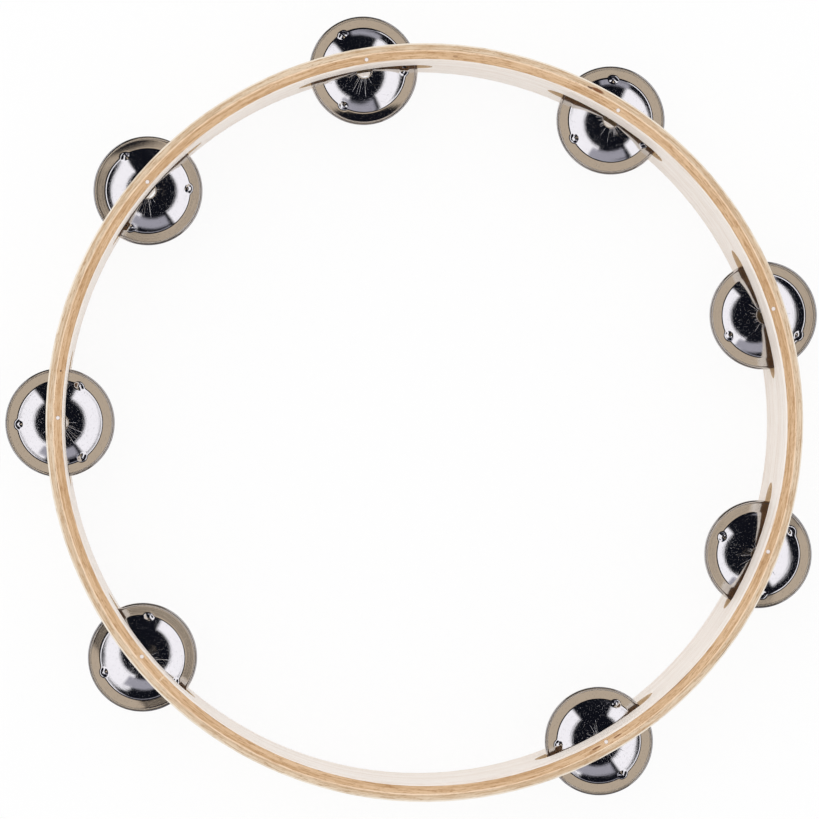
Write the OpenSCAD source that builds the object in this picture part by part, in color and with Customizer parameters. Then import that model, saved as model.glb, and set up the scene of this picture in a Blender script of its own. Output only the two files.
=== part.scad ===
// Headless round tambourine: a bent laminated wooden hoop with a single row
// of stadium-shaped slots. Each slot holds one loose pair of stamped steel
// jingles on a vertical steel pin, and one station is left plain as the grip.
// The origin is on the hoop's axis in the plane of the lower rim. +Z is up,
// and the grip is at -Y.

/* [Hoop] */
// Outside diameter of the hoop
hoop_d = 254; // [200:1:330]
// Height of the hoop from rim to rim
hoop_h = 45; // [38:0.5:70]
// Equal stations round the hoop, one of which stays plain as the grip
stations = 9; // [6:1:10]
// Rounding of the two outer rim edges
outer_round = 1.1; // [0.3:0.1:1.6]
// Rounding of the two inner rim edges
inner_round = 0.8; // [0.3:0.1:1.4]

/* [Plies, from the outside in] */
// Thickness of the outer face veneer
outer_veneer_t = 0.6; // [0.4:0.05:1]
// Thickness of the outer core ply
outer_core_t = 1.7; // [1.2:0.1:3]
// Thickness of the pale veneer between the cores
middle_veneer_t = 0.5; // [0.3:0.05:1]
// Thickness of the inner core ply, which carries the pins
inner_core_t = 2.6; // [2.2:0.1:4]
// Thickness of the inner face veneer
inner_veneer_t = 0.6; // [0.4:0.05:1]
// Glue line between neighbouring plies
glue_line = 0.02; // [0.01:0.01:0.05]
// How far the middle veneer sits back from both rims
middle_recess = 0.05; // [0.02:0.01:0.2]

/* [Jingles] */
// Outside diameter of a jingle
jingle_d = 37; // [30:0.5:44]
// Diameter at the foot of the dome, where the flat flange begins
dome_d = 28.6; // [20:0.2:29.5]
// Rise of the dome above the flange
dome_h = 3.3; // [2:0.1:5]
// Thickness of the jingle sheet
sheet_t = 0.5; // [0.3:0.05:0.8]
// Radius of the bead rolled along the edge
bead_r = 0.4; // [0.35:0.01:0.6]
// Distance of the three stiffening darts from the jingle's centre
dart_at = 14; // [9:0.1:14.1]
// Radius of the ball that forms a dart
dart_r = 1.7; // [1.2:0.05:2.2]
// How far a dart stands proud of the dome
dart_rise = 0.5; // [0.3:0.05:0.8]

/* [Pins] */
// Diameter of the steel pins
pin_d = 1.4; // [1:0.1:2]
// Depth of the pins' upper ends below the upper rim
pin_sink = 0.1; // [0.1:0.1:1]
// Wood left under the pins' lower ends
pin_floor = 6; // [3:0.5:12]
// Chamfer on both ends of a pin
pin_chamfer = 0.1; // [0.1:0.05:0.4]

/* [Clearances] */
// Radial clearance of a pin in its hole in the wood
pin_fit = 0.02; // [0.01:0.01:0.05]
// Radial play of a jingle's hole on its pin
hole_play = 1.9; // [1:0.1:2.2]
// Smallest gap left between a slipped jingle's hole and its pin
slip_gap = 0.3; // [0.25:0.05:0.6]
// Direction in which the loose pairs have slipped on their pins
hang_towards = -80; // [-180:5:180]
// Gap between the flanges of a pair at rest
pair_gap = 0.2; // [0.1:0.05:0.6]
// Gap between a resting dome and the slot
seat_gap = 0.25; // [0.2:0.01:0.3]
// Free travel of a pair along its pin
rattle = 3.8; // [1:0.1:6]
// Space beyond a jingle at each end of its slot
slot_end = 4.5; // [2:0.5:7]

/* [Hidden] */
$fn = 96;
pairs = stations - 1;

// Radii of the ply boundaries.
hoop_r = hoop_d / 2;
outer_core_r = hoop_r - outer_veneer_t;
middle_r = outer_core_r - outer_core_t;
inner_core_r = middle_r - middle_veneer_t;
inner_veneer_r = inner_core_r - inner_core_t;
bore_r = inner_veneer_r - inner_veneer_t;
wall_t = hoop_r - bore_r;

// The pins stand in the middle of the inner core ply.
pin_x = inner_core_r - inner_core_t / 2;
pin_len = hoop_h - pin_sink - pin_floor;

// The hole of a jingle is loose on its pin, so the jingle slips sideways.
jingle_hole_d = pin_d + 2 * hole_play;
slip = hole_play - slip_gap;

// Dome of a jingle: two concentric spheres through the foot circle.
dome_r = (pow(dome_d / 2, 2) + pow(dome_h, 2)) / (2 * dome_h);
dome_z = sheet_t + dome_h - dome_r;
apex_z = sheet_t + dome_h;
function dome_drop(ball, r) = ball - sqrt(pow(ball, 2) - pow(r, 2));
dart_z = apex_z - dome_drop(dome_r, dart_at) + dart_rise - dart_r;

// Half the height of a pair that lies flange on flange.
half_stack = apex_z + pair_gap / 2;

// A slot follows from the pair that rattles in it.
slot_l = jingle_d + 2 * slot_end;
slot_h = 2 * half_stack + 2 * seat_gap + rattle;
slot_z = hoop_h / 2;
pair_z = slot_z - slot_h / 2 + seat_gap + half_stack;

// Overlap of cutting tools past the faces that they cut.
cut = 5;

// Turn of each upper jingle's darts, and of each lower jingle's.
upper_turn = [76, 45, 101, 97, 11, 14, 73, 92];
lower_turn = [20, 88, 57, 9, 66, 102, 35, 48];
// Lean of each resting pair, and the direction that it leans towards.
lean = [1.4, 2, 1.2, 1.8, 1.5, 2.1, 1.3, 1.7];
lean_towards = [200, 35, 310, 120, 250, 80, 160, 10];
function pick(values, k) = values[(k - 1) % len(values)];
// Small errors in where the stations were drilled, in degrees.
station_error = [0.1, 0, -1.2, -0.9, 0.1, 0, 0, 0.1];
function station_angle(k) = -90 + k * 360 / stations + pick(station_error, k);

function numbered(name) = [for (k = [1 : pairs]) str(name, "_", k)];

birch_face = [0.93, 0.86, 0.76];
birch_pale = [0.96, 0.84, 0.7];
birch_core = [0.82, 0.67, 0.49];
birch_edge = [0.82, 0.74, 0.63];
bright_steel = [0.74, 0.72, 0.7];
pin_steel = [0.86, 0.8, 0.78];

// Corner waste outside a rounding of radius r.
module corner_waste(r) {
    difference() {
        translate([-r, -r])
            square(2 * r);
        translate([r, r])
            circle(r);
        translate([r, -2 * r])
            square([2 * r, 5 * r]);
        translate([-2 * r, r])
            square([5 * r, 2 * r]);
    }
}

// Section of the whole hoop wall with its four rounded rim edges.
module wall_section() {
    difference() {
        translate([bore_r, 0])
            square([wall_t, hoop_h]);
        translate([bore_r, 0])
            corner_waste(inner_round);
        translate([bore_r, hoop_h])
            mirror([0, 1])
                corner_waste(inner_round);
        translate([hoop_r, 0])
            mirror([1, 0])
                corner_waste(outer_round);
        translate([hoop_r, hoop_h])
            mirror([1, 0])
                mirror([0, 1])
                    corner_waste(outer_round);
    }
}

module at_station(k) {
    rotate([0, 0, station_angle(k)])
        children();
}

// One stadium-shaped slot, cut straight through the wall along X.
module slot_cut() {
    translate([bore_r - cut, 0, slot_z])
        rotate([90, 0, 90])
            linear_extrude(wall_t + 2 * cut) {
                square([slot_l - slot_h, slot_h], center = true);
                for (side = [-1, 1])
                    translate([side * (slot_l - slot_h) / 2, 0])
                        circle(d = slot_h);
            }
}

// One bent ply between two radii, with the slots cut through it.
module ply(inside, outside, recess = 0) {
    difference() {
        rotate_extrude($fn = 180)
            intersection() {
                wall_section();
                translate([inside, recess])
                    square([outside - inside, hoop_h - 2 * recess]);
            }
        for (k = [1 : pairs])
            at_station(k)
                slot_cut();
    }
}

module outer_veneer() {
    color(birch_face)
        ply(outer_core_r + glue_line, hoop_r);
}

module outer_core() {
    color(birch_edge)
        ply(middle_r + glue_line, outer_core_r);
}

module middle_veneer() {
    color(birch_pale)
        ply(inner_core_r + glue_line, middle_r, middle_recess);
}

// Blind hole for a pin, open at the upper rim.
module pin_hole() {
    translate([pin_x, 0, pin_floor])
        cylinder(d = pin_d + 2 * pin_fit, h = hoop_h - pin_floor + cut);
}

module inner_core() {
    color(birch_core)
        difference() {
            ply(inner_veneer_r + glue_line, inner_core_r);
            for (k = [1 : pairs])
                at_station(k)
                    pin_hole();
        }
}

module inner_veneer() {
    color(birch_face)
        ply(bore_r, inner_veneer_r);
}

// Straight pin with chamfered ends, standing on the floor of its hole.
module pin(k) {
    color(pin_steel)
        at_station(k)
            translate([pin_x, 0, pin_floor]) {
                cylinder(d1 = pin_d - 2 * pin_chamfer, d2 = pin_d, h = pin_chamfer);
                translate([0, 0, pin_chamfer])
                    cylinder(d = pin_d, h = pin_len - 2 * pin_chamfer);
                translate([0, 0, pin_len - pin_chamfer])
                    cylinder(d1 = pin_d, d2 = pin_d - 2 * pin_chamfer, h = pin_chamfer);
            }
}

// Places a piece drawn on the pair's middle plane into its slot, slipped
// sideways on its pin and leaning.
module in_slot(k) {
    slip_angle = hang_towards - station_angle(k);
    at_station(k)
        translate([pin_x + slip * cos(slip_angle), slip * sin(slip_angle), pair_z])
            rotate([0, 0, pick(lean_towards, k)])
                rotate([0, pick(lean, k), 0])
                    rotate([0, 0, -pick(lean_towards, k)])
                        children();
}

// The upper half of a pair as drawn, or the lower half turned over.
module half_pair(k, upper) {
    in_slot(k)
        rotate([upper ? 0 : 180, 0, 0])
            translate([0, 0, pair_gap / 2])
                children();
}

// Everything above the flange's flat face, out to the jingle's edge.
module above_flange() {
    cylinder(d = jingle_d, h = apex_z + cut);
}

// One stamped jingle, its flange's flat face at z = 0 and its dome upwards.
module jingle_shape() {
    difference() {
        union() {
            cylinder(d = jingle_d - 2 * bead_r, h = sheet_t);
            translate([0, 0, bead_r])
                rotate_extrude()
                    translate([jingle_d / 2 - bead_r, 0])
                        circle(bead_r, $fn = 32);
            intersection() {
                above_flange();
                union() {
                    translate([0, 0, dome_z])
                        sphere(dome_r);
                    for (turn = [0, 120, 240])
                        rotate([0, 0, turn])
                            translate([dart_at, 0, dart_z])
                                sphere(dart_r, $fn = 48);
                }
            }
        }
        translate([0, 0, dome_z])
            sphere(dome_r - sheet_t);
        for (turn = [0, 120, 240])
            rotate([0, 0, turn])
                translate([dart_at, 0, dart_z])
                    sphere(dart_r - sheet_t, $fn = 48);
        cylinder(d = jingle_hole_d, h = apex_z + cut);
    }
}

module lower_jingle(k) {
    color(bright_steel)
        half_pair(k, false)
            rotate([0, 0, pick(lower_turn, k)])
                jingle_shape();
}

module upper_jingle(k) {
    color(bright_steel)
        half_pair(k, true)
            rotate([0, 0, pick(upper_turn, k) - station_angle(k)])
                jingle_shape();
}

outer_veneer();
outer_core();
middle_veneer();
inner_core();
inner_veneer();
for (k = [1 : pairs]) {
    pin(k);
    lower_jingle(k);
    upper_jingle(k);
}
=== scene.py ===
# %% [markdown]
# # A headless tambourine
# The real instrument is a hoop of bent birch plies with eight slots. A pair of
# stamped steel jingles rattles in each slot on a steel pin, and the ninth
# station is left plain for the hand. The sizes and places of all its pieces
# are fixed already, so this lesson starts from that frame and adds the looks.

# %% The frame
import math
import bpy
from mathutils import Matrix, Vector


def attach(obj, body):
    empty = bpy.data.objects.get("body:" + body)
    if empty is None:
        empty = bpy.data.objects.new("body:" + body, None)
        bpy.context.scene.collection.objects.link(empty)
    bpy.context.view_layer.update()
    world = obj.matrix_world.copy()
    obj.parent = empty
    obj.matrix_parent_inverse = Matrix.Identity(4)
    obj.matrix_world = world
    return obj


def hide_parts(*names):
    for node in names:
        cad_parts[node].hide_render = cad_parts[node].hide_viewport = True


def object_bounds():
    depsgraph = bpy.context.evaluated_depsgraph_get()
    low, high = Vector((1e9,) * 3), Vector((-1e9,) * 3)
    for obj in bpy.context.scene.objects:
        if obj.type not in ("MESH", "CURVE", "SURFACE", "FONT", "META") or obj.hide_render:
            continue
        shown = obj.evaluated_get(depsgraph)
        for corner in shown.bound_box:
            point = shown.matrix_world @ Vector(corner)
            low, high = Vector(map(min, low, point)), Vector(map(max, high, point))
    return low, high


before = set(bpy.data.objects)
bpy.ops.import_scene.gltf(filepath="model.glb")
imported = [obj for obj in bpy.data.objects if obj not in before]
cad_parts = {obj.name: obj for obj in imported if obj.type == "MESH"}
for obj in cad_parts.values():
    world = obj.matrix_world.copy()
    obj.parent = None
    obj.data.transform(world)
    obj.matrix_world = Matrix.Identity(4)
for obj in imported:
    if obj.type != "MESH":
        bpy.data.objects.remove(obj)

MM = 0.001
frame_low, frame_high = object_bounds()
print("frame", [round(v / MM, 1) for v in frame_high - frame_low], "mm")

# %% [markdown]
# ## The camera
# The view is from high above the hoop and a little to its left, which is why
# more of the inner wall shows on the right. A long lens keeps the ring round.
# The picture is turned a little against the hoop, so its right and up
# directions are worked out first and used again for the lights.

# %% The camera
PICTURE_TURN = math.radians(10.7)
picture_right = Vector((math.cos(PICTURE_TURN), math.sin(PICTURE_TURN), 0))
picture_up = Vector((-math.sin(PICTURE_TURN), math.cos(PICTURE_TURN), 0))


def on_picture(right, up, height):
    """A point from its distances in millimetres along the picture's right and up."""
    return (picture_right * right + picture_up * up + Vector((0, 0, height))) * MM


# All are in millimetres.
LENS, SENSOR = 177.1, 36
EYE_RIGHT, EYE_UP, EYE_OVER_RIM = -79.8, -1.4, 1345
AIM_RIGHT, AIM_UP = -5.7, 4.3
rim_height = frame_high.z / MM
camera_data = bpy.data.cameras.new("camera")
camera_data.lens, camera_data.sensor_width = LENS, SENSOR
camera_data.clip_start, camera_data.clip_end = 0.05, 50
camera = bpy.data.objects.new("camera", camera_data)
bpy.context.scene.collection.objects.link(camera)
bpy.context.scene.camera = camera
eye = on_picture(EYE_RIGHT, EYE_UP, rim_height + EYE_OVER_RIM)
look = (on_picture(AIM_RIGHT, AIM_UP, rim_height) - eye).normalized()
side = look.cross(picture_up).normalized()
aimed = Matrix((side, side.cross(look), -look)).transposed().to_4x4()
camera.matrix_world = Matrix.Translation(eye) @ aimed
print("camera stands", round(eye.z, 3), "m up")

# %% [markdown]
# ## Node maths written as Python
# Materials and Geometry Nodes are both wired from nodes. A small class wraps an
# output socket and overloads the arithmetic signs, so `1 - mask` adds a Math
# node by itself, and one method adds any other node.


# %% Node maths written as Python
class Wire:
    """A node's output that can stand in a Python expression."""

    def __init__(self, net, socket):
        self.net, self.socket = net, socket

    def __add__(self, other):
        return self.net.math("ADD", self, other)

    def __sub__(self, other):
        return self.net.math("SUBTRACT", self, other)

    def __rsub__(self, other):
        return self.net.math("SUBTRACT", other, self)

    def __mul__(self, other):
        return self.net.math("MULTIPLY", self, other)

    def __truediv__(self, other):
        return self.net.math("DIVIDE", self, other)

    __radd__, __rmul__ = __add__, __mul__


class Net:
    """A node tree, and the one method that adds any node to it."""

    def __init__(self, tree):
        self.tree = tree

    def add(self, kind, settings=None, sockets=None, out=0):
        """A new node of a type. What comes back is the output, or outputs, named in out."""
        node = self.tree.nodes.new(kind)
        for name, value in (settings or {}).items():
            setattr(node, name, value)
        for name, value in (sockets or {}).items():
            if isinstance(value, Wire):
                self.tree.links.new(value.socket, node.inputs[name])
            else:
                node.inputs[name].default_value = value
        if isinstance(out, tuple):
            return [Wire(self, node.outputs[one]) for one in out]
        return Wire(self, node.outputs[out]) if len(node.outputs) else node

    def math(self, operation, *values):
        """A Math node's result."""
        return self.add("ShaderNodeMath", {"operation": operation}, dict(enumerate(values)))

    def ease(self, value, start, end):
        """0 up to start and 1 from end on, with a soft change between."""
        return self.add("ShaderNodeMapRange", {"interpolation_type": "SMOOTHSTEP"},
                        {"Value": value, "From Min": start, "From Max": end})

    def blend(self, factor, first, second):
        """A colour between two colours, whose sockets are the Mix node's seventh and eighth."""
        sockets = {"Factor": factor, 6: first, 7: second}
        return self.add("ShaderNodeMix", {"data_type": "RGBA"}, sockets, out=2)

    def noise(self, vector, scale, detail=3, roughness=0.55):
        """Cloudy values round 0.5."""
        sockets = {"Vector": vector, "Scale": scale, "Detail": detail, "Roughness": roughness}
        return self.add("ShaderNodeTexNoise", None, sockets)

    def join(self, x, y, z):
        """A vector from its three parts."""
        return self.add("ShaderNodeCombineXYZ", None, {0: x, 1: y, 2: z})

    def split(self, vector):
        """The three parts of a vector."""
        return self.add("ShaderNodeSeparateXYZ", None, {0: vector}, out=(0, 1, 2))

    def bump(self, strength, distance, height):
        """A normal that is tipped by a height."""
        sockets = {"Strength": strength, "Distance": distance, "Height": height}
        return self.add("ShaderNodeBump", None, sockets, out="Normal")


def paint(red, green, blue):
    """The linear colour of a paint chip given in the usual 0 to 255."""
    chip = [v / 255 for v in (red, green, blue)]
    return [v / 12.92 if v <= 0.04045 else ((v + 0.055) / 1.055) ** 2.4 for v in chip] + [1]


def new_material(name):
    """A material, the net of its nodes, and its Principled shader's sockets."""
    material = bpy.data.materials.new(name)
    material.use_nodes = True
    return material, Net(material.node_tree), material.node_tree.nodes["Principled BSDF"].inputs


def feed(net, socket, wire):
    """Links a wire to a socket of a node that is there already."""
    net.tree.links.new(wire.socket, socket)


print("node helpers ready")

# %% [markdown]
# ## The studio sky
# The instrument lies on a white table under a wide soft sky, with one large
# lamp for a gentle direction. Bright metal shows what stands round it, so for
# glossy rays the sky holds a studio: a warm grey ceiling right above, darkness
# round it, white boxes to the left and to the right, two small grey ones, and
# dim walls down to the horizon. Shapes made of angles in the sky need no
# objects, so nothing else in the scene is lit or shaded by them.

# %% The studio sky
world = bpy.data.worlds.new("studio")
bpy.context.scene.world = world
world.use_nodes = True
world.node_tree.nodes.clear()
sky = Net(world.node_tree)
bearing = sky.add("ShaderNodeTexCoord", out="Generated")


def along(direction):
    """How far the bearing points along a direction."""
    sockets = {0: bearing, 1: direction}
    return sky.add("ShaderNodeVectorMath", {"operation": "DOT_PRODUCT"}, sockets, out="Value")


DEGREES = 180 / math.pi
to_right, to_up, to_top = along(picture_right), along(picture_up), along(Vector((0, 0, 1)))
from_top = sky.math("ARCCOSINE", to_top) * DEGREES
turn = sky.math("ARCTAN2", to_up, to_right) * DEGREES
BOX_EDGE, BOX_SIDE_EDGE = 1, 3


def softbox(nearest, farthest, middle, half_width):
    """A box in the sky, between two angles from the top and round a bearing, in degrees."""
    away = sky.math("ABSOLUTE", sky.math("WRAP", turn - middle, 180, -180))
    begun = sky.ease(from_top, nearest - BOX_EDGE, nearest + BOX_EDGE)
    ended = sky.ease(from_top, farthest - BOX_EDGE, farthest + BOX_EDGE)
    passed = sky.ease(away, half_width - BOX_SIDE_EDGE, half_width + BOX_SIDE_EDGE)
    return begun * (1 - ended) * (1 - passed)


DARKNESS, BOX_WHITE, BOX_GREY = [0.005, 0.006, 0.011, 1], [1.22, 1.22, 1.32, 1], [0.42, 0.42, 0.50, 1]
CEILING_GREY, WALL_WHITE, SKY_WHITE = [0.60, 0.50, 0.395, 1], [0.85, 0.85, 0.87, 1], [0.935, 0.935, 0.95, 1]
CEILING_TILT = math.radians(4)
BRIGHTEST_WALL = 200
ceiling_middle = picture_right * math.sin(CEILING_TILT) + Vector((0, 0, math.cos(CEILING_TILT)))
from_ceiling = sky.math("ARCCOSINE", along(ceiling_middle)) * DEGREES
# A box's nearest and farthest edge from the top, the bearing of its middle and half its width.
whites = sky.math("MAXIMUM", softbox(30, 47.5, 5, 58), softbox(29, 46.5, 188, 60))
greys = sky.math("MAXIMUM", softbox(32, 43, -92, 32), softbox(46, 52, 80, 20))
ceiling = 1 - sky.ease(from_ceiling, 8, 10)
wall_light = 0.26 + 0.2 * sky.math("COSINE", (turn - BRIGHTEST_WALL) * (math.pi / 180))
horizon = sky.ease(from_top, 62, 78) * wall_light
mirrored = sky.blend(whites, DARKNESS, BOX_WHITE)
mirrored = sky.blend(greys, mirrored, BOX_GREY)
mirrored = sky.blend(ceiling, mirrored, CEILING_GREY)
mirrored = sky.blend(horizon, mirrored, WALL_WHITE)
is_camera, is_glossy = sky.add("ShaderNodeLightPath", out=("Is Camera Ray", "Is Glossy Ray"))
lit = sky.blend(is_glossy, SKY_WHITE, mirrored)
backdrop = sky.add("ShaderNodeBackground", None, {"Color": sky.blend(is_camera, lit, [1, 1, 1, 1])})
sky.add("ShaderNodeOutputWorld", None, {"Surface": backdrop})

# In watts and metres.
LAMP_POWER, LAMP_WIDTH = 3, 1.4
lamp_data = bpy.data.lights.new("window", "AREA")
lamp_data.energy, lamp_data.size = LAMP_POWER, LAMP_WIDTH
lamp = bpy.data.objects.new("window", lamp_data)
bpy.context.scene.collection.objects.link(lamp)
lamp.location = on_picture(-750, 800, 1500)
lamp.rotation_euler = (-lamp.location).to_track_quat("-Z", "Y").to_euler()
lamp.visible_glossy = False
bpy.context.scene.view_settings.view_transform = "Standard"
print("sky and one lamp of", lamp_data.energy, "W")

# %% [markdown]
# ## The white table
# A white table top under strong light loses nearly all its shading, and only
# the shadow close under the instrument stays. The top is one square. Its
# material is mostly a plain white where it is looked at, and a matt white that
# takes the shadow makes up the rest. Towards the wood it is all matt, so that
# it only passes on the light that it gets.

# %% The white table
REACH = 6
PLAIN_WHITE_SHARE = 0.88
corners = [(-REACH, -REACH, 0), (REACH, -REACH, 0), (REACH, REACH, 0), (-REACH, REACH, 0)]
table_mesh = bpy.data.meshes.new("table")
table_mesh.from_pydata(corners, [], [(0, 1, 2, 3)])
table = bpy.data.objects.new("table", table_mesh)
bpy.context.scene.collection.objects.link(table)
table_white = bpy.data.materials.new("table_white")
table_white.use_nodes = True
table_white.node_tree.nodes.clear()
top = Net(table_white.node_tree)
seen = top.add("ShaderNodeLightPath", out=("Is Camera Ray", "Is Glossy Ray", "Is Transmission Ray"))
looked_at = top.math("MAXIMUM", top.math("MAXIMUM", seen[0], seen[1]), seen[2])
matt = top.add("ShaderNodeBsdfDiffuse", None, {"Color": [0.98, 0.98, 0.98, 1]})
bright = top.add("ShaderNodeEmission", None, {"Color": [1, 1, 1, 1], "Strength": 1.0})
mixed = top.add("ShaderNodeMixShader", None, {0: looked_at * PLAIN_WHITE_SHARE, 1: matt, 2: bright})
top.add("ShaderNodeOutputMaterial", None, {"Surface": mixed})
table_mesh.materials.append(table_white)
print("table", 2 * REACH, "m wide")

# %% [markdown]
# ## Birch plies
# The hoop is glued up from five plies, and the rim shows all of them on edge.
# The fibres run round the hoop, so the grain is a noise that is stretched
# along the circle: its first two inputs are the cosine and sine of the place on
# the ring, which has no seam, and the third is the distance across the grain.


# %% A birch material
HOOP_RADIUS = 127
GRAIN_SLOPE = 0.83


def ring_place(net):
    """The three distances of a point of the hoop and its distance from the axis, in millimetres."""
    x, y, z = net.split(net.add("ShaderNodeTexCoord", out="Object"))
    x, y, z = x / MM, y / MM, z / MM
    radius = net.math("SQRT", x * x + y * y)
    return x, y, z, radius


def fibres(net, place, length, width, detail=3, roughness=0.55):
    """Noise in streaks round the hoop, of about that length and width in millimetres."""
    x, y, z, radius = place
    # Radius and height share one number, so the rim and the round walls have the same grain.
    waves = HOOP_RADIUS / length
    across = (radius + z * GRAIN_SLOPE) / width
    return net.noise(net.join(x / radius * waves, y / radius * waves, across), 1, detail, roughness)


def mark(net, place, turn, radius_at, half_length, half_width, ragged=0.5):
    """A mask for one mark on the upper rim, such as a knot, at a bearing and a distance from the axis."""
    x, y, z, radius = place
    cosine, sine = math.cos(math.radians(turn)), math.sin(math.radians(turn))
    sideways = (y * cosine - x * sine) / half_length
    outward = x * cosine + y * sine
    on_this_side = net.ease(outward, 0, 10) * net.ease(z, rim_height - 2, rim_height - 1)
    across = (radius - radius_at) / half_width
    torn = (fibres(net, place, 1.5, 0.3) - 0.5) * ragged * 2
    spread = sideways * sideways + across * across + torn
    return (1 - net.ease(spread, 0.5, 1.3)) * on_this_side


def cut_face(net, place):
    """A mask for the walls of the slots and their colour: painted light on the floor that faces up, painted
    shade on the roof that faces down.
    """
    x, y, z, radius = place
    facing_x, facing_y, upwards = net.split(net.add("ShaderNodeTexCoord", out="Normal"))
    outward = net.math("ABSOLUTE", (facing_x * x + facing_y * y) / radius)
    from_middle = net.math("ABSOLUTE", z - rim_height / 2)
    mask = (1 - net.ease(outward, 0.3, 0.6)) * (1 - net.ease(from_middle, 7, 9))
    # The roof of a slot faces down and gets a painted shade, and the floor faces up and gets painted light;
    # only the speckles are the wood's own.
    facing_down_painted_shade = 1 - net.ease(upwards, -0.5, 0.4)
    speckles = net.ease(net.noise(net.join(x, y, z), 1.6, 3, 0.7), 0.55, 0.7)
    colour = net.blend(facing_down_painted_shade, paint(224, 192, 150), paint(112, 78, 48))
    return mask, net.blend(speckles * 0.5, colour, paint(96, 66, 38))


def birch(name, pale, deep, streak, contrast, marks=(), run=1):
    """Birch between two colours, with streaks of a third, marks and fibres that are run times as long."""
    material, net, shader = new_material(name)
    place = ring_place(net)
    broad = fibres(net, place, 42 * run, 1.1 * run, 2)
    fine = fibres(net, place, 7 * run, 0.42, 4, 0.7)
    hair = fibres(net, place, 1.7 * run, 0.28, 3, 0.75)
    spread = 0.12 / contrast
    tone = net.ease(broad * 0.5 + fine * 0.5, 0.5 - spread, 0.5 + spread)
    colour = net.blend(tone, pale, deep)
    colour = net.blend(net.ease(fine * 0.5 + hair * 0.5, 0.49, 0.62) * 0.75, colour, streak)
    pores = net.ease(hair, 0.6, 0.7)
    colour = net.blend(pores * 0.4, colour, streak)
    # The cut faces of the slots take painted light on their floors and painted shade on their roofs.
    cut, cut_speckled_painted_light_and_shade = cut_face(net, place)
    colour = net.blend(cut * 0.9, colour, cut_speckled_painted_light_and_shade)
    for place_of_mark, mark_colour, strength in marks:
        colour = net.blend(mark(net, place, *place_of_mark) * strength, colour, mark_colour)
    feed(net, shader["Base Color"], colour)
    feed(net, shader["Roughness"], 0.42 + fine * 0.16)
    feed(net, shader["Normal"], net.bump(0.16, 0.12 * MM, fine * 0.4 + hair * 0.3 - pores * 0.5))
    shader["Specular IOR Level"].default_value = 0.4
    return material


print("birch ready")

# %% [markdown]
# ## The five plies
# The veneers are pale and the cores are tan. The two face veneers have long
# calm fibres, because they are cut along the log. Knots and cracks of the wood
# show on the rim only. Each mark gives its bearing from +X in degrees, its
# distance from the axis, half its length and half its width in millimetres and
# how ragged it is, then its colour and its strength.

# %% The five plies
BROWN, DARK, PALE = paint(128, 76, 32), paint(84, 44, 18), paint(240, 214, 182)
LONG_FIBRES = 4
outer_core_marks = [
    ((73.4, 125.3, 2.4, 0.6, 0.7), BROWN, 0.95), ((74.6, 125.0, 1.0, 0.3, 0.9), DARK, 0.9),
    ((-27, 126.3, 4.6, 0.1, 0.25), DARK, 0.7)]
inner_core_marks = [
    ((96.2, 122.8, 0.9, 0.35, 1.2), BROWN, 0.5), ((-51.7, 123.1, 1.9, 0.3), BROWN, 0.9),
    ((-47.9, 123.1, 1.7, 0.28), BROWN, 0.8), ((182.7, 123.1, 0.35, 0.3), DARK, 0.9),
    ((-35.3, 121.7, 13, 0.1, 0.25), BROWN, 0.75), ((234.7, 122.9, 0.35, 1.3), PALE, 0.7)]
plies = {
    "outer_veneer": birch("birch_outside", paint(250, 240, 224), paint(238, 222, 200),
                          paint(212, 188, 158), 0.8, run=LONG_FIBRES),
    "outer_core": birch("birch_outer_core", paint(232, 210, 182), paint(209, 178, 142),
                        paint(178, 142, 102), 1.2, outer_core_marks),
    "middle_veneer": birch("birch_middle", paint(254, 228, 198), paint(242, 210, 174),
                           paint(216, 178, 138), 0.8),
    "inner_core": birch("birch_inner_core", paint(228, 193, 154), paint(204, 164, 120),
                        paint(172, 126, 80), 1.2, inner_core_marks),
    "inner_veneer": birch("birch_inside", paint(254, 247, 239), paint(246, 236, 226),
                          paint(226, 208, 190), 0.9, run=LONG_FIBRES),
}
for node, material in plies.items():
    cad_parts[node].data.materials.clear()
    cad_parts[node].data.materials.append(material)
print(len(plies), "plies dressed")

# %% [markdown]
# ## Bright metal
# The jingles are stamped from nickel-plated steel. Near the centre the sheet is
# drawn into fine radial creases, and polishing leaves faint rings and hairline
# scratches. They are bumps that follow the sheet's own flat coordinates, which
# the jingle's mesh carries as a UV map, so they turn with each jingle. A crease
# is a straight ray in the middle of its share of the turn, and noise makes the
# shares uneven. The pins are ground steel, which looks pale and dull on end.


# %% Metals
CREASES = 26
LONGEST_CREASE = 13


def dimmed(colour, share):
    """A colour with only that share of its light."""
    return [v * share for v in colour[:3]] + [1]


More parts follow.
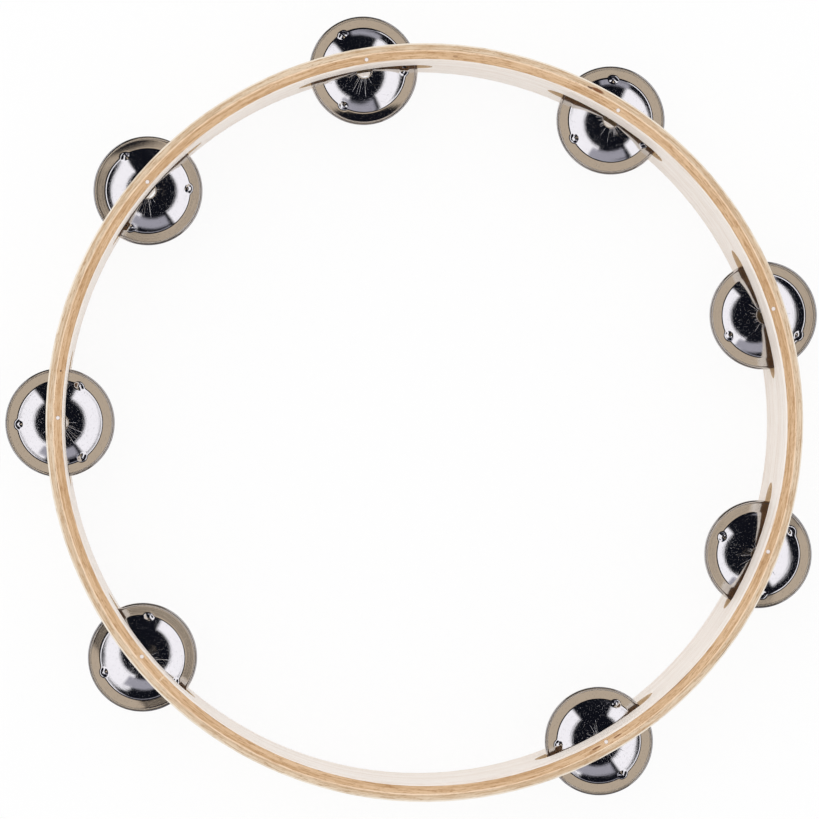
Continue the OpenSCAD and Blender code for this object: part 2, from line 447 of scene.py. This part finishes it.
def bright_metal(name, colour, roughness):
    """Polished sheet with creases round its centre, rings and scratches."""
    material, net, shader = new_material(name)
    x, y, _ = net.split(net.add("ShaderNodeUVMap", {"uv_map": "sheet"}))
    radius = net.math("SQRT", x * x + y * y)
    ray = net.join(x / radius * 1.6, y / radius * 1.6, 1.0)
    share = net.math("ARCTAN2", y, x) * (CREASES / (2 * math.pi)) + net.noise(ray, 1, 2) * 9
    number = net.math("FLOOR", share)
    off_line = net.math("ABSOLUTE", share - number - 0.5) * radius * (2 * math.pi / CREASES)
    # Each crease reads the noise at a place of its own, which gives it a length of its own.
    reach = net.noise(net.join(number * 0.73, number * 0.41, 4.0), 1, 0) * LONGEST_CREASE
    creases = (1 - net.ease(off_line, 0.02, 0.08)) * (1 - net.ease(radius - reach, -3.2, -0.4))
    polish = net.noise(net.join(x / radius * 0.6, y / radius * 0.6, radius * 9), 1, 3, 0.7)
    rubbed = net.join(x * 0.9 + y * 0.35, y * 7 - x * 2.6, 0.0)
    scratches = net.ease(net.noise(rubbed, 1, 4, 0.75), 0.62, 0.7)
    smears = net.noise(net.join(x, y, 0.0), 0.22, 4)
    height = creases * 1.2 + polish * 0.22 + scratches * 0.5
    feed(net, shader["Normal"], net.bump(0.35, 0.06 * MM, height))
    feed(net, shader["Roughness"], roughness + smears * 0.05 + scratches * 0.25 + creases * 0.4)
    feed(net, shader["Base Color"], net.blend(smears, colour, dimmed(colour, 0.94)))
    shader["Metallic"].default_value = 1.0
    return material


def plain_metal(name, colour, roughness, grain, metallic):
    """Metal with a fine cloudy grain, of that many waves to a millimetre."""
    material, net, shader = new_material(name)
    place = net.add("ShaderNodeTexCoord", out="Object")
    cloud = net.noise(place, grain / MM, 3, 0.6)
    feed(net, shader["Base Color"], net.blend(cloud, colour, dimmed(colour, 0.86)))
    feed(net, shader["Roughness"], roughness - 0.06 + cloud * 0.14)
    feed(net, shader["Normal"], net.bump(0.25, 0.02 * MM, cloud))
    shader["Metallic"].default_value = metallic
    return material


jingle_metal = bright_metal("jingle_metal", [0.74, 0.72, 0.70, 1], 0.03)
pin_metal = plain_metal("pin_metal", [1.0, 0.93, 0.90, 1], 0.5, 5, 0.05)
print("two metals")

# %% [markdown]
# ## A sheet turned on its axis
# A jingle is a thin section turned round an axis. The section is a closed line
# of points, drawn in Python from arcs. A Geometry Nodes tree lays a grid over
# it: one way the grid follows the section, the other way it goes round the
# axis. The tree also presses the three darts into the sheet and bends an edge
# that was knocked, because both depend only on the place on the disc.


# %% The turning tree
TREE_INPUTS = (
    ("Section", "Geometry", None), ("Steps", "Int", 192),
    ("Dart Distance", "Float", 14.0), ("Dart Height", "Float", 0.0), ("Dart Length", "Float", 1.9),
    ("Dart Width", "Float", 1.35), ("Dart Turn", "Float", 0.0),
    ("Bend Height", "Float", 0.0), ("Bend Turn", "Float", 0.0), ("Bend Start", "Float", 9.5),
    ("Finish", "Material", None))
BEND_LENGTH = 9
CAP_SMOOTHING, CAP_FOOT = 0.25, 0.0417
MERGE_DISTANCE = 0.0005


def turning_tree():
    """A node group that turns a section round Z, presses darts into it and bends its edge."""
    group = bpy.data.node_groups.new("turned_sheet", "GeometryNodeTree")
    face = group.interface
    for name, kind, value in TREE_INPUTS:
        socket = face.new_socket(name, in_out="INPUT", socket_type="NodeSocket" + kind)
        if value is not None:
            socket.default_value = value
    face.new_socket("Geometry", in_out="OUTPUT", socket_type="NodeSocketGeometry")
    net = Net(group)
    names = tuple(name for name, _, _ in TREE_INPUTS)
    (section, steps, distance, height, length, width, dart_turn,
     bend_height, bend_turn, bend_start, finish) = net.add("NodeGroupInput", out=names)

    # The grid has one more point each way than it needs, which closes the ring and the section.
    points = net.add("GeometryNodeAttributeDomainSize", {"component": "MESH"},
                     {"Geometry": section}, out="Point Count")
    grid = net.add("GeometryNodeMeshGrid", None,
                   {"Vertices X": points + 1, "Vertices Y": steps + 1}, out="Mesh")
    index = net.add("GeometryNodeInputIndex")
    column = net.math("FLOOR", index / (steps + 1) + 0.0001)
    row = index - column * (steps + 1)
    spot = net.math("MODULO", column + 0.1, points)
    position = net.add("GeometryNodeInputPosition")
    corner = net.add("GeometryNodeSampleIndex", {"data_type": "FLOAT_VECTOR"}, {
        "Geometry": section, "Value": position, "Index": net.math("FLOOR", spot)})
    radius, _, rise = net.split(corner)
    angle = row / steps * (2 * math.pi)

    # A dart is a smooth cap on the sheet. The angle is folded three times, so one formula makes all three.
    third = net.math("ARCCOSINE", net.math("COSINE", (angle - dart_turn) * 3) * 0.999999) / 3
    sideways = third * distance / width
    outward = (radius - distance) / length
    cap = net.math("SMOOTH_MAX", 1 - sideways * sideways - outward * outward, 0.0, CAP_SMOOTHING)
    dart = (cap - CAP_FOOT) * height

    # A knock bends the edge in a parabola, which reaches its full height BEND_LENGTH from its start.
    past_start = net.math("MAXIMUM", radius * net.math("COSINE", angle - bend_turn) - bend_start, 0.0)
    bend = past_start * past_start * bend_height / BEND_LENGTH ** 2
    x, y = radius * net.math("COSINE", angle), radius * net.math("SINE", angle)
    place = net.join(x, y, rise + dart + bend)
    shaped = net.add("GeometryNodeSetPosition", None, {"Geometry": grid, "Position": place})
    mapped = net.add("GeometryNodeStoreNamedAttribute", {"data_type": "FLOAT2", "domain": "CORNER"}, {
        "Geometry": shaped, "Name": "sheet", "Value": position})
    merged = net.add("GeometryNodeMergeByDistance", None, {"Geometry": mapped, "Distance": MERGE_DISTANCE})
    smooth = net.add("GeometryNodeSetShadeSmooth", None, {"Geometry": merged})
    real = net.add("GeometryNodeRealizeInstances", None, {"Geometry": smooth})
    finished = net.add("GeometryNodeSetMaterial", None, {"Geometry": real, "Material": finish})
    net.add("NodeGroupOutput", None, {0: finished})
    return group


turned = turning_tree()
print("tree with", len(turned.nodes), "nodes")

# %% [markdown]
# ## From a section to a plain mesh
# The tree works as a modifier on an object that holds only the section. Its
# inputs are set by their identifiers before the object is first evaluated. The
# result is copied out as a plain mesh, and the modifier and its object are
# taken away again, so that each jingle is an ordinary piece.


# %% From a section to a plain mesh
def turn_section(name, section, finish, **sizes):
    """The mesh of a section turned by the tree, in millimetres."""
    count = len(section)
    line = bpy.data.meshes.new(name + "_section")
    edges = [(i, (i + 1) % count) for i in range(count)]
    line.from_pydata([(r, 0, z) for r, z in section], edges, [])
    holder = bpy.data.objects.new(name + "_section", line)
    bpy.context.scene.collection.objects.link(holder)
    maker = holder.modifiers.new("turn", "NODES")
    maker.node_group = turned
    wanted = dict(sizes, Finish=finish)
    for item in turned.interface.items_tree:
        key = item.name.replace(" ", "_")
        if item.in_out == "INPUT" and key in wanted:
            maker[item.identifier] = wanted[key]
    ready = holder.evaluated_get(bpy.context.evaluated_depsgraph_get())
    mesh = bpy.data.meshes.new_from_object(ready)
    mesh.name = name
    holder.modifiers.remove(maker)
    bpy.data.objects.remove(holder)
    bpy.data.meshes.remove(line)
    return mesh


def arc(radius, start, end, count):
    """Points on an arc round the origin, by angles in degrees."""
    steps = [math.radians(start + (end - start) * i / (count - 1)) for i in range(count)]
    return [(radius * math.cos(a), radius * math.sin(a)) for a in steps]


def eased_corner(before, corner, after, count):
    """Points that round a corner off between two points."""
    made = []
    for i in range(1, count):
        t = i / count
        ways = zip(before, corner, after)
        made.append(tuple(b * (1 - t) ** 2 + 2 * c * t * (1 - t) + a * t * t for b, c, a in ways))
    return made


print("turning ready")

# %% [markdown]
# ## The jingles
# A jingle is a domed disc with a flat flange and a bead rolled along its edge.
# Three small darts are pressed across the foot of the dome to stiffen it. The
# hole in the middle is much wider than the pin, so a pair hangs off to one side
# and light falls through the holes. The dome is part of a ball and turns into a
# cone close to the hole, where the punch has drawn the sheet. All of it is one
# section, so the disc has no seam between dome, flange and bead.

# %% The section of a jingle
JINGLE_RADIUS, DOME_RADIUS, DOME_RISE, SHEET, HOLE = 18.5, 14.3, 3.3, 0.5, 2.6
BALL = (DOME_RADIUS ** 2 + DOME_RISE ** 2) / (2 * DOME_RISE)
BALL_HEIGHT = SHEET + DOME_RISE - BALL
CONE, FLATTENED = 5.6, 0.16
FOOT_INSIDE, FOOT_OUTSIDE = 0.35, 0.4
FLANGE_STEP, FLANGE_POINTS = 0.33, 9
BEAD, BEAD_HEIGHT, BEAD_SQUASH = 0.55, 0.36, 0.65


def dome_height(ball, r):
    """Height of the dome, which is a cone inside CONE.

    There it lies lower than the ball by FLATTENED, and by less and less towards its foot.
    """
    foot = 1 - max(0, (r - CONE) / (DOME_RADIUS - CONE)) ** 2
    at = max(r, CONE)
    slope = at / math.sqrt(ball * ball - at * at)
    return BALL_HEIGHT + math.sqrt(ball * ball - at * at) + (at - r) * slope - FLATTENED * foot


def dome_line(ball, inside, outside, count):
    """Points of a dome's section between two distances from the axis."""
    radii = [inside + (outside - inside) * i / (count - 1) for i in range(count)]
    return [(r, dome_height(ball, r)) for r in radii]


def jingle_section():
    """The closed section: over the dome and flange, round the bead and back beneath."""
    top = dome_line(BALL, HOLE + 0.12, DOME_RADIUS - FOOT_INSIDE, 32)
    top += eased_corner(top[-1], (DOME_RADIUS, SHEET), (DOME_RADIUS + FOOT_OUTSIDE, SHEET), 7)
    flange = [DOME_RADIUS + FOOT_OUTSIDE + i * FLANGE_STEP for i in range(FLANGE_POINTS)]
    top += [(r, SHEET) for r in flange]
    bead_middle = JINGLE_RADIUS - BEAD
    bead = [(bead_middle + r, BEAD_HEIGHT + z * BEAD_SQUASH) for r, z in arc(BEAD, 158, -90, 20)]
    foot = math.sqrt((BALL - SHEET) ** 2 - BALL_HEIGHT ** 2)
    under = [(r, 0.0) for r in flange[::-1]]
    under[-1] = (foot + 0.8, 0.0)
    back = dome_line(BALL - SHEET, HOLE + 0.05, foot - 0.6, 22)[::-1]
    under_corner = eased_corner(under[-1], (foot, 0.0), back[0], 7)
    # The edges of the hole are broken by about a tenth of a millimetre.
    wall_low, wall_high = back[-1][1] + 0.05, top[0][1] - 0.12
    hole_wall = [(HOLE, wall_low), (HOLE, wall_high), (HOLE + 0.04, wall_high + 0.08)]
    return top + bead + under + under_corner + back + hole_wall


jingle_line = jingle_section()
print("jingle section of", len(jingle_line), "points")

# %% [markdown]
# ## Placing the pairs
# The upper disc of each pair has its dome up, and the lower one is the same
# disc turned over. Where a pair lies and how it leans are read from the middles
# of its two frame pieces, so the finer discs stay where the joints expect them.
# Each disc is turned by its own angle, since jingles spin freely, and some
# upper discs had a knock: its height in millimetres, and its bearing in degrees.

# %% Placing the pairs
upper_turns = [76, 45, 101, 97, 11, 14, 73, 92]
lower_turns = [20, 88, 57, 9, 66, 102, 35, 48]
knocks = [(0.3, -40), (0.5, -10), (0.0, 0), (0.15, -110), (0.55, -75), (0.55, 115), (0.1, 90), (0.55, -130)]
DART_SIZES = {"Dart_Height": 0.52, "Dart_Length": 1.25, "Dart_Width": 1.65}
DISC_STEPS = 240
HALF_GAP = 0.1
UPRIGHT = Vector((0, 0, 1))


def stand(name, mesh, where, body):
    """A piece from a mesh in millimetres, set in its place, riding on its body."""
    mesh.transform(where @ Matrix.Scale(MM, 4))
    piece = bpy.data.objects.new(name, mesh)
    bpy.context.scene.collection.objects.link(piece)
    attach(piece, body)
    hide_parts(body)


def middle_of(node):
    """The middle of a CAD piece's skin: its triangles' centres, weighed by their areas."""
    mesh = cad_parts[node].data
    weighed, whole = Vector(), 0.0
    for face in mesh.polygons:
        weighed += face.center * face.area
        whole += face.area
    return weighed / whole


lift = Matrix.Translation((0, 0, HALF_GAP * MM))
stations = sorted(int(name.split("_")[-1]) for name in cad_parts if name.startswith("upper_jingle"))
for k in stations:
    upper_middle, lower_middle = middle_of(f"upper_jingle_{k}"), middle_of(f"lower_jingle_{k}")
    middle, axis = (upper_middle + lower_middle) / 2, (upper_middle - lower_middle).normalized()
    pin_middle = middle_of(f"pin_{k}")
    lean = UPRIGHT.rotation_difference(axis).to_matrix().to_4x4()
    leaning = Matrix.Translation(middle) @ lean
    station = Matrix.Rotation(math.atan2(pin_middle.y, pin_middle.x), 4, "Z")
    turned_over = station @ Matrix.Rotation(math.pi, 4, "X")
    bend_height, bend_towards = knocks[k - 1]
    sides = (("upper", Matrix(), upper_turns, bend_height), ("lower", turned_over, lower_turns, 0.0))
    for side_name, flip, turns, bend in sides:
        spin = turns[k - 1]
        where = leaning @ flip @ lift @ Matrix.Rotation(math.radians(spin), 4, "Z")
        disc = turn_section(f"stamped_{side_name}_jingle_{k}", jingle_line, jingle_metal,
                            Steps=DISC_STEPS, Bend_Height=bend,
                            Bend_Turn=math.radians(bend_towards - spin), **DART_SIZES)
        stand(disc.name, disc, where, f"{side_name}_jingle_{k}")
    slipped = (middle - pin_middle).to_2d().length / MM
    leans = math.degrees(axis.angle(UPRIGHT))
    print(f"pair {k} hangs {slipped:.2f} mm off its pin and leans {leans:.1f} degrees")
for k in stations:
    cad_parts[f"pin_{k}"].data.materials.clear()
    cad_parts[f"pin_{k}"].data.materials.append(pin_metal)
print(len(stations), "pairs placed, each disc of", len(disc.polygons), "faces")
